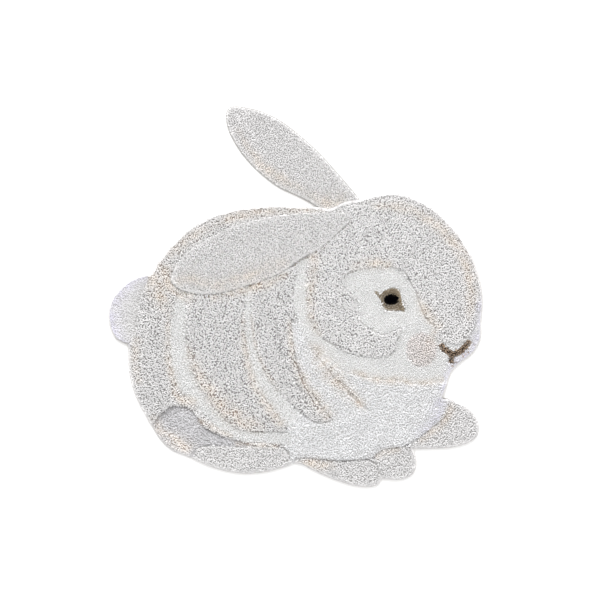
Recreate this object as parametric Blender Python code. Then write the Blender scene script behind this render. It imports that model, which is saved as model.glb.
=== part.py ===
# A hand-tufted cotton rug for a child's room, in the shape of a sitting rabbit.
# It lies flat on the floor with its pile up, and from above it shows the rabbit's right side.
# A maker cuts and tufts three pieces: the body, and two ears that are sewn to it.
# The body's colours are yarns tufted into one canvas, so they are areas of one solid.
# Where two kinds of pile meet, the maker clips a groove between them.
#
# The frame is in metres with +Z up, +X towards the nose and +Y towards the tip of the far ear.
# The origin lies on the floor under the middle of the whole rug.

import bmesh
import bpy
import numpy as np
from mathutils import Vector, noise
from mathutils.geometry import delaunay_2d_cdt

MM = 0.001

# Heights above the floor, with the canvas in them
LONG_PILE = 18 * MM
BRUSHED_PILE = 16 * MM
PAW_PILE = 15 * MM
SHORT_PILE = 13 * MM
SMOOTH_PILE = 11 * MM
GROOVE_FLOOR = 9 * MM

# The ears: short pile on canvas. The near one lies in pile that is pressed flat under it.
EAR_THICKNESS = 12 * MM
PRESSED_PILE = 11 * MM
SEWING_GAP = 0.4 * MM
PRESSED_MARGIN = 1.5 * MM
PRESSED_BANK = 7 * MM
RESTING_GAP = 0.3 * MM

# How the pile is rounded at a rim, how wide a groove is, and how uneven the long pile lies
RIM_WALL = 0.5
RIM_SHOULDER = 0.86
SHOULDER_INSET = 4 * MM
CROWN_INSET = 11 * MM
GROOVE_HALF_WIDTH = 7 * MM
LUMP_HEIGHT = 2.8 * MM
LUMP_WIDTH = 65 * MM

# How far to either side of a border the kinds of pile are compared
BORDER_LOOK = 2 * MM

# Spacing of the points that the surface is drawn with, and how clear they stand of each other
OUTLINE_STEP = 13 * MM
GROOVE_STEP = 14 * MM
FACE_STEP = 7 * MM
FILL_STEP = 32 * MM
CURVE_STEPS = 16
GROOVE_CLEARANCE = 3.7 * MM
BANK_CLEARANCE = 5.5 * MM
CROWN_CLEARANCE = 7.4 * MM
RIM_CLEARANCE = 3 * MM
FILL_CLEARANCE = 20 * MM
RING_SHARE = 0.9
ON_THE_LINE = 0.01 * MM
SAME_POINT = 0.0001 * MM

# The body's outline, clockwise from above: each stretch is smooth and meets the next at a corner.
# Columns: x and y in millimetres.
OUTLINE = {
    "crown, nose and chin": (
        (200, 305), (250, 319), (310, 326), (370, 311), (425, 282), (475, 239), (518, 190),
        (552, 130), (578, 55), (587, -10), (583, -80), (581, -130), (558, -173), (518, -206),
        (489, -236), (474, -277), (459, -320)),
    "far forepaw": (
        (459, -320), (496, -328), (540, -350), (570, -388), (572, -432), (540, -459),
        (490, -472), (425, -476), (367, -476)),
    "middle paw": (
        (367, -476), (378, -518), (367, -556), (330, -574), (269, -571)),
    "near forepaw": (
        (269, -571), (255, -591), (223, -597), (172, -590), (110, -569), (52, -543), (22, -527),
        (-5, -522)),
    "hind foot and rump": (
        (-5, -522), (-50, -538), (-106, -551), (-176, -554), (-255, -538), (-334, -505),
        (-391, -482), (-430, -445), (-464, -388), (-505, -308), (-524, -239), (-527, -175),
        (-530, -147)),
    "tail": (
        (-530, -147), (-565, -131), (-586, -90), (-589, -40), (-571, 5), (-530, 46), (-492, 64),
        (-454, 73)),
    "back": (
        (-454, 73), (-429, 115), (-385, 168), (-334, 215), (-270, 251), (-192, 274), (-96, 286),
        (0, 285), (81, 280)),
    "seat of the far ear": (
        (81, 280), (110, 276), (140, 292), (169, 301), (200, 305)),
}

# The far ear's free edge, from the head side of its seat round the tip and back.
FAR_EAR_EDGE = (
    ((185, 326), (141, 378), (78, 448), (14, 507), (-49, 555), (-109, 584), (-170, 599),
     (-208, 598)),
    ((-220, 576), (-214, 537), (-196, 497), (-166, 451), (-119, 400), (-55, 350), (14, 317)),
)

# The near ear's outline, clockwise from its tip.
NEAR_EAR = (
    (-391, 65), (-374, 106), (-346, 138), (-312, 164), (-268, 189), (-205, 220), (-144, 240),
    (-33, 260), (71, 267), (163, 264), (169, 239), (135, 207), (84, 160), (14, 120), (-55, 73),
    (-138, 43), (-233, 14), (-302, 9), (-362, 24), (-391, 46))

# Kinds of pile. Columns: name, height, group, sRGB colour, roughness.
# A groove is clipped where one group meets another, and pile of one group runs on unparted.
KINDS = (
    ("long grey", LONG_PILE, "coat", (209, 207, 206), 0.95),
    ("long white", LONG_PILE, "belly", (223, 222, 222), 0.95),
    ("stripe white", SHORT_PILE, "belly", (226, 225, 224), 0.95),
    ("face white", SHORT_PILE, "face", (228, 227, 226), 0.95),
    ("brushed white", BRUSHED_PILE, "tail", (222, 222, 226), 0.90),
    ("beige", PAW_PILE, "face", (214, 206, 198), 0.95),
    ("paw grey", PAW_PILE, "paw", (212, 211, 210), 0.95),
    ("smooth grey", SMOOTH_PILE, "hind foot", (203, 201, 201), 0.85),
    ("olive brown", SHORT_PILE, "eye", (118, 106, 84), 0.90),
    ("black", SHORT_PILE, "eye", (32, 30, 31), 0.90),
    ("dark brown", SHORT_PILE, "mouth", (66, 50, 42), 0.90),
)
EAR_KIND = ("ear grey", EAR_THICKNESS, "ear", (213, 212, 212), 0.90)

# Bands of pile along a line, with clipped borders.
# Columns: x, y and width in millimetres at each station.
BANDS = {
    "hind stripe": ("stripe white", (
        (-352, 40, 24), (-360, 0, 30), (-371, -60, 44), (-374, -131, 51), (-368, -195, 56),
        (-350, -263, 60), (-328, -298, 52), (-303, -327, 44), (-280, -354, 40), (-253, -384, 36),
        (-229, -405, 33), (-201, -428, 34), (-159, -440, 34), (-98, -443, 34), (-15, -448, 44))),
    "flank stripe": ("stripe white", (
        (-152, 35, 17), (-152, -68, 20), (-144, -144, 26), (-128, -214, 35), (-100, -277, 42),
        (-58, -331, 50), (-8, -388, 64))),
    "shoulder stripe": ("long white", (
        (-2, -74, 28), (8, -131, 44), (27, -195, 51), (55, -255, 57), (97, -315, 64),
        (147, -375, 70))),
    "neck and jaw": ("face white", (
        (30, 140, 20), (22, 115, 26), (16, 52, 35), (13, -5, 41), (20, -60, 38), (43, -112, 41),
        (90, -163, 47), (157, -204, 57), (236, -223, 63), (318, -226, 70), (400, -242, 45),
        (483, -236, 45))),
    "cheek line": ("face white", (
        (286, -222, 45), (325, -182, 36), (357, -143, 27), (386, -109, 27), (408, -88, 26))),
}

# Patches of pile with a closed outline; what lies past the rug's outline is cut away with it.
# A clipped border has a groove where the groups differ, and over a soft one the pile runs on.
# Columns: x and y in millimetres.
PATCHES = {
    "tail": ("brushed white", "soft", (
        (-464, 52), (-489, 5), (-499, -36), (-503, -80), (-514, -125), (-530, -150), (-620, -170),
        (-635, -10), (-555, 100), (-460, 100))),
    "belly and chest": ("long white", "clipped", (
        (-28, -408), (-6, -378), (22, -371), (48, -390), (82, -396), (112, -382), (92, -315),
        (52, -255), (25, -195), (10, -130), (12, -85), (45, -112), (90, -163), (157, -204),
        (236, -223), (318, -226), (400, -242), (489, -240), (505, -325), (467, -325),
        (486, -347), (470, -378), (425, -416), (385, -448), (330, -475), (293, -478),
        (261, -489), (245, -508), (141, -516), (14, -508), (-8, -530), (-24, -505),
        (-36, -473))),
    "chin": ("face white", "soft", (
        (436, -91), (437, -122), (449, -136), (478, -143), (514, -146), (534, -134), (553, -112),
        (568, -75), (576, -40), (640, -40), (616, -233), (489, -264), (331, -264), (331, -106))),
    "eye surround": ("face white", "clipped", (
        (144, 38), (150, 60), (179, 80), (236, 92), (296, 93), (332, 86), (353, 64), (364, 40),
        (380, 12), (389, -22), (403, -54), (418, -73), (436, -88), (407, -90), (374, -86),
        (319, -102), (271, -117), (232, -98), (205, -76), (197, -40), (188, 2))),
    "hind foot": ("smooth grey", "clipped", (
        (-440, -386), (-425, -370), (-402, -350), (-372, -344), (-348, -348), (-330, -358),
        (-311, -384), (-298, -406), (-272, -422), (-240, -437), (-205, -449), (-182, -458),
        (-124, -468), (-169, -473), (-247, -471), (-299, -472), (-318, -490), (-334, -520),
        (-492, -454))),
    "toes of the hind foot": ("paw grey", "clipped", (
        (-124, -468), (-82, -470), (-47, -472), (-27, -486), (-20, -505), (-20, -590),
        (-334, -590), (-318, -490), (-299, -472), (-247, -471), (-169, -473))),
    "near forepaw": ("paw grey", "clipped", (
        (14, -510), (141, -518), (223, -514), (252, -527), (264, -571), (264, -630), (14, -630),
        (-5, -527))),
    "middle paw": ("paw grey", "clipped", (
        (249, -511), (261, -489), (293, -478), (331, -475), (366, -480), (410, -518), (394, -613),
        (268, -613), (264, -568))),
    "far forepaw": ("paw grey", "clipped", (
        (359, -476), (385, -448), (426, -416), (470, -378), (486, -347), (464, -321), (552, -296),
        (616, -391), (584, -502), (394, -502))),
}

# Round and small features of the face. Columns: x, y, and half the length along X and along Y.
MUZZLE = (396, -167, 47, 53)
PUPIL = (301, -8, 23, 17)
EYE = (
    (247, 18), (254, 20), (268, 11), (280, 19), (292, 25), (308, 28), (322, 24), (330, 11),
    (334, -14), (341, -34), (343, -47), (332, -43), (308, -42), (284, -41), (275, -27), (266, -8),
    (256, 5))

# The mouth: a smile and the short line under its middle. Columns: x, y and width.
MOUTH = (
    ((456, -148, 18), (465, -161, 20), (480, -172, 20), (495, -180, 20), (514, -174, 20),
     (528, -163, 19), (541, -149, 19), (548, -136, 17)),
    ((492, -179, 17), (491, -194, 17), (490, -210, 18)),
)

# Grooves clipped through pile of one colour. Columns: x and y in millimetres.
CREASES = {
    "between the forepaws": (
        (250, -516), (262, -542), (268, -568)),
    "under the muzzle": (
        (352, -186), (367, -211), (396, -223)),
    "throat": (
        (17, -68), (30, -125), (59, -176), (125, -258), (179, -309), (223, -353)),
    "shoulder": (
        (-66, -70), (-55, -130), (-40, -190), (-15, -245), (20, -300)),
}


def even_path(stations, step, closed=False):
    """Carries a Catmull-Rom curve through the stations and reads it at even steps.
    Columns after x and y, such as a width, are carried along with them."""
    stations = np.asarray(stations, float)
    if closed:
        row = np.vstack([stations[-1:], stations, stations[:2]])
    else:
        row = np.vstack([2 * stations[0] - stations[1], stations, 2 * stations[-1] - stations[-2]])
    t = np.linspace(0, 1, CURVE_STEPS, endpoint=False)[:, None]
    pieces = []
    for before, start, end, after in zip(row, row[1:], row[2:], row[3:]):
        linear = (end - before) * t
        square = (2 * before - 5 * start + 4 * end - after) * t ** 2
        cubic = (3 * start - before - 3 * end + after) * t ** 3
        pieces.append(0.5 * (2 * start + linear + square + cubic))
    fine = np.vstack(pieces + [row[-2:-1]])
    run = np.hypot(*np.diff(fine[:, :2], axis=0).T)
    travelled = np.concatenate([[0], np.cumsum(run)])
    count = max(2, round(travelled[-1] / step))
    wanted = np.linspace(0, travelled[-1], count + 1)
    path = np.column_stack([np.interp(wanted, travelled, column) for column in fine.T])
    return path[:-1] if closed else path


def left_normals(path, closed=True):
    """Unit vectors to the left of a path, square to the line between each point's neighbours."""
    if closed:
        along = np.roll(path, -1, axis=0) - np.roll(path, 1, axis=0)
    else:
        along = np.gradient(path, axis=0)
    along /= np.hypot(*along.T)[:, None]
    return np.column_stack([-along[:, 1], along[:, 0]])


def inside(points, loop):
    """True for each point inside a loop: a ray towards +X crosses it an odd number of times."""
    x, y = points[:, 0, None], points[:, 1, None]
    start_x, start_y = loop.T
    end_x, end_y = np.roll(loop, -1, axis=0).T
    level = start_y == end_y
    slope = (end_x - start_x) / np.where(level, 1, end_y - start_y)
    crossed = ((start_y > y) != (end_y > y)) & (x < start_x + (y - start_y) * slope)
    return crossed.sum(axis=1) % 2 == 1


def distance(points, path, closed=True):
    """The shortest distance from each point to a path."""
    start = path if closed else path[:-1]
    run = (np.roll(path, -1, axis=0) if closed else path[1:])[:len(start)] - start
    offset = points[:, None] - start
    share = np.clip((offset * run).sum(axis=2) / (run ** 2).sum(axis=1), 0, 1)
    return np.linalg.norm(offset - share[..., None] * run, axis=2).min(axis=1)


def band_loop(stations, step):
    """The closed outline of a band: its left edge, and back along its right edge."""
    path = even_path(np.array(stations) * MM, step)
    centre, half_width = path[:, :2], path[:, 2:] / 2
    side = left_normals(centre, closed=False) * half_width
    return np.vstack([centre + side, (centre - side)[::-1]])


def round_loop(size, step):
    """An ellipse from its centre and half its length and width."""
    x, y, half_x, half_y = np.array(size) * MM
    count = round(np.pi * (half_x + half_y) / step)
    angle = np.linspace(0, 2 * np.pi, count, endpoint=False)
    return np.column_stack([x + half_x * np.cos(angle), y + half_y * np.sin(angle)])


def tufted_areas():
    """Every area of its own pile, in the order in which they are tufted over one another."""
    areas = []
    for kind, border, stations in PATCHES.values():
        loop = even_path(np.array(stations) * MM, GROOVE_STEP, closed=True)
        areas.append((kind, border, loop))
    for kind, stations in BANDS.values():
        areas.append((kind, "clipped", band_loop(stations, GROOVE_STEP)))
    areas.append(("beige", "soft", round_loop(MUZZLE, GROOVE_STEP)))
    eye = even_path(np.array(EYE) * MM, FACE_STEP, closed=True)
    areas.append(("olive brown", "clipped", eye))
    areas.append(("black", "clipped", round_loop(PUPIL, FACE_STEP)))
    for stations in MOUTH:
        areas.append(("dark brown", "clipped", band_loop(stations, FACE_STEP)))
    return areas


def kind_at(points, areas):
    """The kind of pile at each point, as its row in KINDS. A later area covers an earlier one."""
    names = [kind[0] for kind in KINDS]
    found = np.zeros(len(points), int)
    for name, _, loop in areas:
        found[inside(points, loop)] = names.index(name)
    return found


def groove_lines(areas):
    """The grooves, each as runs of points: clipped borders where two groups of pile meet, and
    the creases."""
    groups = np.array([kind[2] for kind in KINDS])
    runs = []
    for loop in (loop for _, border, loop in areas if border == "clipped"):
        ring = np.vstack([loop, loop[:1]])
        side = left_normals(ring, closed=False) * BORDER_LOOK
        meets = groups[kind_at(ring + side, areas)] != groups[kind_at(ring - side, areas)]
        starts = np.flatnonzero(np.diff(meets.astype(int))) + 1
        for part in np.split(np.arange(len(ring)), starts):
            if meets[part[0]] and len(part) > 2:
                runs.append(ring[part])
    for stations in CREASES.values():
        runs.append(even_path(np.array(stations) * MM, GROOVE_STEP))
    return runs


def spread(groups):
    """Keeps the points of each group that stand clear of those already kept.
    Each group is its points and the clearance that they need."""
    kept = np.empty((0, 2))
    for points, clearance in groups:
        for point in points:
            if len(kept) == 0 or np.hypot(*(kept - point).T).min() > clearance:
                kept = np.vstack([kept, point])
    return kept


def fill_points(loop, step):
    """A triangular grid of points over a loop's box."""
    low, high = loop.min(axis=0), loop.max(axis=0)
    row_height = step * 3 ** 0.5 / 2
    points = []
    for row, y in enumerate(np.arange(low[1], high[1], row_height)):
        shift = step / 2 * (row % 2)
        points += [(x + shift, y) for x in np.arange(low[0], high[0], step)]
    return np.array(points)


def rim_rings(loop):
    """Two rings of points inside a clockwise outline, where its pile rounds over."""
    rings = []
    for inset in (SHOULDER_INSET, CROWN_INSET):
        ring = loop - left_normals(loop) * inset
        clear = distance(ring, loop) > RING_SHARE * inset
        rings.append(ring[clear])
    return rings


def lumps(points):
    """How much higher or lower the pile lies at each point."""
    rough = [noise.noise(Vector((x / LUMP_WIDTH, y / LUMP_WIDTH, 0))) for x, y in points]
    return np.array(rough) * LUMP_HEIGHT


def rounded_rim(points, loop):
    """The share of the full pile height at each point, rounded off towards the outline."""
    insets = (0, SHOULDER_INSET, CROWN_INSET)
    return np.interp(distance(points, loop), insets, (RIM_WALL, RIM_SHOULDER, 1))


def make_material(kind):
    """A matt cotton material in the colour of one kind of pile."""
    name, _, _, colour, roughness = kind
    material = bpy.data.materials.new(name)
    material.use_nodes = True
    shader = material.node_tree.nodes["Principled BSDF"]
    linear = [(channel / 255) ** 2.2 for channel in colour]
    shader.inputs["Base Color"].default_value = (*linear, 1)
    shader.inputs["Roughness"].default_value = roughness
    shader.inputs["Metallic"].default_value = 0
    return material


def make_slab(name, points, loops, underside, top_at, kinds, kind_of):
    """Triangulates the points inside the loops, extrudes them into a slab and lifts its top.
    The first loop is the outline and the others are lines that the triangles keep."""
    corners, edges = [], []
    for loop in loops:
        first = len(corners)
        corners += [Vector(point) for point in loop]
        edges += [(first + i, first + (i + 1) % len(loop)) for i in range(len(loop))]
    corners += [Vector(point) for point in points]
    flat = delaunay_2d_cdt(corners, edges, [], 1, SAME_POINT)

    sheet = bmesh.new()
    verts = [sheet.verts.new((x, y, underside)) for x, y in flat[0]]
    for triangle in flat[2]:
        sheet.faces.new([verts[i] for i in triangle])
    bottom = list(sheet.faces)
    lifted = bmesh.ops.extrude_face_region(sheet, geom=bottom, use_keep_orig=True)["geom"]
    top = [part for part in lifted if isinstance(part, bmesh.types.BMVert)]
    heights = top_at(np.array([vert.co.xy for vert in top]))
    for vert, height in zip(top, heights):
        vert.co.z = height
    for face in (part for part in lifted if isinstance(part, bmesh.types.BMFace)):
        face.material_index = kind_of(face.calc_center_median().xy)
    bmesh.ops.dissolve_faces(sheet, faces=bottom)
    bmesh.ops.recalc_face_normals(sheet, faces=sheet.faces)

    mesh = bpy.data.meshes.new(name)
    sheet.to_mesh(mesh)
    sheet.free()
    for kind in kinds:
        mesh.materials.append(kind)
    return bpy.data.objects.new(name, mesh)


def body_outline():
    """The body's closed outline, and the stretch of it that the far ear is sewn to."""
    stretches = {}
    for name, stations in OUTLINE.items():
        stretches[name] = even_path(np.array(stations) * MM, OUTLINE_STEP)
    outline = np.vstack([stretch[:-1] for stretch in stretches.values()])
    return outline, stretches["seat of the far ear"]


def far_ear_outline(seat):
    """The far ear's closed outline: its seam, a sewing gap off the body, and its free edge."""
    seam = seat + left_normals(seat, closed=False) * SEWING_GAP
    upper, lower = (np.array(edge) * MM for edge in FAR_EAR_EDGE)
    upper_path = even_path(np.vstack([seam[-1:], upper, lower[:1]]), OUTLINE_STEP)
    lower_path = even_path(np.vstack([lower, seam[:1]]), OUTLINE_STEP)
    return np.vstack([seam, upper_path[1:-1], lower_path[:-1]])[::-1]


def make_body(outline, pressed):
    """The tufted body: one flat-bottomed slab with its pile relief, and the near ear's bed."""
    areas = tufted_areas()
    grooves = groove_lines(areas)

    def top_at(points):
        heights = np.array([kind[1] for kind in KINDS])[kind_at(points, areas)]
        heights = heights + np.where(heights >= LONG_PILE, lumps(points), 0)
        nearest = np.min([distance(points, line, closed=False) for line in grooves], axis=0)
        rise = (LONG_PILE - GROOVE_FLOOR) / GROOVE_HALF_WIDTH
        heights = np.minimum(heights, GROOVE_FLOOR + nearest * rise)
        heights *= rounded_rim(points, outline)
        in_bed = inside(points, pressed) | (distance(points, pressed) < ON_THE_LINE)
        heights[in_bed] = PRESSED_PILE
        return heights

    def kind_of(point):
        return int(kind_at(np.array([point]), areas)[0])

    bank = pressed + left_normals(pressed) * PRESSED_BANK
    sides = []
    for line in grooves:
        side = left_normals(line, closed=False) * GROOVE_HALF_WIDTH
        sides += [line + side, line - side]
    shoulder, crown = rim_rings(outline)
    groups = [(outline, 0), (pressed, 0), (bank, GROOVE_CLEARANCE)]
    groups += [(line, GROOVE_CLEARANCE) for line in grooves]
    groups += [(shoulder, GROOVE_CLEARANCE), (crown, CROWN_CLEARANCE)]
    groups += [(line, BANK_CLEARANCE) for line in sides]
    groups += [(fill_points(outline, FILL_STEP), FILL_CLEARANCE)]
    points = spread(groups)[len(outline) + len(pressed):]
    within = inside(points, outline) & (distance(points, outline) > RIM_CLEARANCE)
    at_seam = inside(points, pressed) & (distance(points, pressed) < FILL_STEP / 2)
    points = points[within & ~at_seam]
    return make_slab("rug_body", points, [outline, pressed], 0, top_at,
                     [make_material(kind) for kind in KINDS], kind_of)


def make_ear(name, outline, underside, material):
    """A short-pile ear: a flat slab with a rounded rim."""
    shoulder, crown = rim_rings(outline)
    groups = [(outline, 0), (shoulder, GROOVE_CLEARANCE), (crown, GROOVE_CLEARANCE)]
    groups += [(fill_points(outline, FILL_STEP), FILL_CLEARANCE)]
    points = spread(groups)[len(outline):]
    points = points[inside(points, outline) & (distance(points, outline) > RIM_CLEARANCE)]
    return make_slab(name, points, [outline], underside,
                     lambda spots: underside + EAR_THICKNESS * rounded_rim(spots, outline),
                     [material], lambda spot: 0)


for old in list(bpy.data.objects):
    bpy.data.objects.remove(old, do_unlink=True)
rug = bpy.data.collections.new("rabbit shaped rug")
bpy.context.scene.collection.children.link(rug)

body_loop, ear_seat = body_outline()
near_ear_loop = even_path(np.array(NEAR_EAR) * MM, OUTLINE_STEP, closed=True)
far_ear_loop = far_ear_outline(ear_seat)
ear_material = make_material(EAR_KIND)

pieces = [
    make_body(body_loop, near_ear_loop + left_normals(near_ear_loop) * PRESSED_MARGIN),
    make_ear("near_ear", near_ear_loop, PRESSED_PILE + RESTING_GAP, ear_material),
    make_ear("far_ear", far_ear_loop, 0, ear_material),
]

# The whole rug is moved so that the origin lies under the middle of its box.
reach = np.vstack([body_loop, far_ear_loop])
middle = (reach.min(axis=0) + reach.max(axis=0)) / 2
for piece in pieces:
    rug.objects.link(piece)
    piece.location = (-middle[0], -middle[1], 0)
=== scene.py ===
# A hand-tufted cotton rug for a child's room, in the shape of a sitting rabbit, lying flat.
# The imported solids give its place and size. This file makes the canvas and every tuft of yarn.

import bpy
import numpy as np
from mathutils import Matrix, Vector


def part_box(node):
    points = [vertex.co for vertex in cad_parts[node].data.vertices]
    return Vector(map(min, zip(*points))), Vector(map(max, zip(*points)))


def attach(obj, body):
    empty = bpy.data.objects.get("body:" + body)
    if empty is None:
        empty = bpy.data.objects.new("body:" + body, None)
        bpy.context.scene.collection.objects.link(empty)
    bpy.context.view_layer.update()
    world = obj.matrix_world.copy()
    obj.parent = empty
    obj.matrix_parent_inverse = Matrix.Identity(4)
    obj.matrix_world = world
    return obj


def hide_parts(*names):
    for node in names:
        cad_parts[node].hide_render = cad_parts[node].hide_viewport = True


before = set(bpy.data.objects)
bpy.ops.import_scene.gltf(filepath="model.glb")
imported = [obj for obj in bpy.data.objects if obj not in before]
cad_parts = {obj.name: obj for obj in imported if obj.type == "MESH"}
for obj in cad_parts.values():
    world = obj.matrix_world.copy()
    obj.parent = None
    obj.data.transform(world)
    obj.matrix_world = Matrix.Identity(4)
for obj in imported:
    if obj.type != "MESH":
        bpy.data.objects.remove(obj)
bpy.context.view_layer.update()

MM = 0.001


# The studio: a white floor under even light from all round, and one wide soft lamp beyond the
# rug's ears, so that shade falls towards the paws. The camera looks straight down on the pile.

PICTURE_WIDTH = 1.874          # metres of floor across the picture
PICTURE_MIDDLE = (1.6 * MM, 1.6 * MM)
LENS, SENSOR = 85, 36          # millimetres
FLOOR_SIZE = 9.0
FLOOR_COLOUR = (0.95, 0.95, 0.95, 1)
SKY_STRENGTH = 1.08
LAMP_PLACE = (-0.6, 5, 4.2)
LAMP_SIZE = 3.6
LAMP_POWER = 380

camera = bpy.data.objects.new("camera", bpy.data.cameras.new("camera"))
camera.data.lens, camera.data.sensor_width = LENS, SENSOR
camera.data.clip_end = 50
camera.location = (*PICTURE_MIDDLE, PICTURE_WIDTH * LENS / SENSOR)
bpy.context.collection.objects.link(camera)
bpy.context.scene.camera = camera
bpy.context.scene.view_settings.view_transform = "Standard"

lamp = bpy.data.objects.new("lamp", bpy.data.lights.new("lamp", "AREA"))
lamp.data.size, lamp.data.energy = LAMP_SIZE, LAMP_POWER
lamp.location = LAMP_PLACE
lamp.rotation_euler = (-lamp.location).to_track_quat("-Z", "Y").to_euler()
bpy.context.collection.objects.link(lamp)

sky = bpy.data.worlds.new("sky")
sky.use_nodes = True
sky.node_tree.nodes["Background"].inputs["Color"].default_value = (1, 1, 1, 1)
sky.node_tree.nodes["Background"].inputs["Strength"].default_value = SKY_STRENGTH
bpy.context.scene.world = sky

floor_mesh = bpy.data.meshes.new("floor")
floor_corners = np.array([(-1, -1, 0), (1, -1, 0), (1, 1, 0), (-1, 1, 0)]) * FLOOR_SIZE / 2
floor_mesh.from_pydata(floor_corners.tolist(), [], [(0, 1, 2, 3)])
floor = bpy.data.objects.new("floor", floor_mesh)
bpy.context.collection.objects.link(floor)
floor_finish = bpy.data.materials.new("white floor")
floor_finish.use_nodes = True
floor_shader = floor_finish.node_tree.nodes["Principled BSDF"]
floor_shader.inputs["Base Color"].default_value = FLOOR_COLOUR
floor_shader.inputs["Roughness"].default_value = 0.9
floor_mesh.materials.append(floor_finish)


# The body's canvas: cotton cloth cut to the rabbit's outline, marked with every area of pile and
# tufted right through. What is made here is the cloth with the imported feet of the yarn on it,
# which is painted dark as painted shade between the tufts, and the plain woven underside that
# lies on the floor.

# Each stretch of the outline is smooth and meets the next at a corner, clockwise from above.
# Columns: x and y in millimetres.
OUTLINE = {
    "crown, nose and chin": (
        (200, 305), (250, 319), (310, 326), (370, 311), (425, 282), (475, 239), (518, 190),
        (552, 130), (578, 55), (587, -10), (583, -80), (581, -130), (558, -173), (518, -206),
        (489, -236), (474, -277), (459, -320)),
    "far forepaw": (
        (459, -320), (496, -328), (540, -350), (570, -388), (572, -432), (540, -459),
        (490, -472), (425, -476), (367, -476)),
    "middle paw": (
        (367, -476), (378, -518), (367, -556), (330, -574), (269, -571)),
    "near forepaw": (
        (269, -571), (255, -591), (223, -597), (172, -590), (110, -569), (52, -543), (22, -527),
        (-5, -522)),
    "hind foot and rump": (
        (-5, -522), (-50, -538), (-106, -551), (-176, -554), (-255, -538), (-334, -505),
        (-391, -482), (-430, -445), (-464, -388), (-505, -308), (-524, -239), (-527, -175),
        (-530, -147)),
    "tail": (
        (-530, -147), (-565, -131), (-586, -90), (-589, -40), (-571, 5), (-530, 46), (-492, 64),
        (-454, 73)),
    "back": (
        (-454, 73), (-429, 115), (-385, 168), (-334, 215), (-270, 251), (-192, 274), (-96, 286),
        (0, 285), (81, 280)),
    "seat of the far ear": (
        (81, 280), (110, 276), (140, 292), (169, 301), (200, 305)),
}
FAR_EAR_EDGE = (
    ((185, 326), (141, 378), (78, 448), (14, 507), (-49, 555), (-109, 584), (-170, 599),
     (-208, 598)),
    ((-220, 576), (-214, 537), (-196, 497), (-166, 451), (-119, 400), (-55, 350), (14, 317)),
)
NEAR_EAR = (
    (-391, 65), (-374, 106), (-346, 138), (-312, 164), (-268, 189), (-205, 220), (-144, 240),
    (-33, 260), (71, 267), (163, 264), (169, 239), (135, 207), (84, 160), (14, 120), (-55, 73),
    (-138, 43), (-233, 14), (-302, 9), (-362, 24), (-391, 46))

# Kinds of pile. Columns: name, height in millimetres, group, how deep in millimetres the gaps
# between its tufts are, how pale its feet are as a share of its yarn (less than one is painted
# shade between the tufts), and its yarn in sRGB.
KINDS = (
    ("long grey", 18, "coat", 4.3, 0.42, (229, 228, 228)),
    ("long white", 18, "belly", 3.3, 0.72, (231, 231, 232)),
    ("stripe white", 13, "belly", 3.1, 0.72, (234, 234, 234)),
    ("face white", 13, "face", 3, 0.75, (236, 236, 236)),
    ("brushed white", 16, "tail", 3, 0.85, (215, 214, 214)),
    ("beige", 15, "face", 4.2, 0.5, (235, 231, 230)),
    ("paw grey", 15, "paw", 3.6, 0.54, (229, 228, 228)),
    ("smooth grey", 11, "hind foot", 3, 0.66, (200, 199, 201)),
    ("olive brown", 12.5, "eye", 4, 0.3, (152, 137, 112)),
    ("black", 14, "eye", 5, 0.5, (5, 5, 14)),
    ("dark brown", 13.5, "mouth", 5, 0.12, (156, 135, 115)),
)
NAMES = [kind[0] for kind in KINDS]

# Patches of pile with a closed outline. A clipped border has a groove where the groups differ,
# and over a soft one the pile runs on. Columns: x and y in millimetres.
PATCHES = {
    "tail": ("brushed white", "soft", (
        (-464, 52), (-489, 5), (-499, -36), (-503, -80), (-514, -125), (-530, -150), (-620, -170),
        (-635, -10), (-555, 100), (-460, 100))),
    "belly and chest": ("long white", "clipped", (
        (-28, -408), (-6, -378), (22, -371), (48, -390), (82, -396), (112, -382), (92, -315),
        (52, -255), (25, -195), (10, -130), (12, -85), (45, -112), (90, -163), (157, -204),
        (236, -223), (318, -226), (400, -242), (489, -240), (505, -325), (467, -325),
        (486, -347), (470, -378), (425, -416), (385, -448), (330, -475), (293, -478),
        (261, -489), (245, -508), (141, -516), (14, -508), (-8, -530), (-24, -505),
        (-36, -473))),
    "chin": ("face white", "soft", (
        (436, -91), (437, -122), (449, -136), (478, -143), (514, -146), (534, -134), (553, -112),
        (568, -75), (576, -40), (640, -40), (616, -233), (489, -264), (331, -264), (331, -106))),
    "eye surround": ("face white", "clipped", (
        (144, 38), (150, 60), (179, 80), (236, 92), (296, 93), (332, 86), (353, 64), (364, 40),
        (380, 12), (389, -22), (403, -54), (418, -73), (436, -88), (407, -90), (374, -86),
        (319, -102), (271, -117), (232, -98), (205, -76), (197, -40), (188, 2))),
    "hind foot": ("smooth grey", "clipped", (
        (-440, -386), (-425, -370), (-402, -350), (-372, -344), (-348, -348), (-330, -358),
        (-311, -384), (-298, -406), (-272, -422), (-240, -437), (-205, -449), (-182, -458),
        (-124, -468), (-169, -473), (-247, -471), (-299, -472), (-318, -490), (-334, -520),
        (-492, -454))),
    "toes of the hind foot": ("paw grey", "clipped", (
        (-124, -468), (-82, -470), (-47, -472), (-27, -486), (-20, -505), (-20, -590),
        (-334, -590), (-318, -490), (-299, -472), (-247, -471), (-169, -473))),
    "near forepaw": ("paw grey", "clipped", (
        (14, -510), (141, -518), (223, -514), (252, -527), (264, -571), (264, -630), (14, -630),
        (-5, -527))),
    "middle paw": ("paw grey", "clipped", (
        (249, -511), (261, -489), (293, -478), (331, -475), (366, -480), (410, -518), (394, -613),
        (268, -613), (264, -568))),
    "far forepaw": ("paw grey", "clipped", (
        (359, -476), (385, -448), (426, -416), (470, -378), (486, -347), (464, -321), (552, -296),
        (616, -391), (584, -502), (394, -502))),
}

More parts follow.
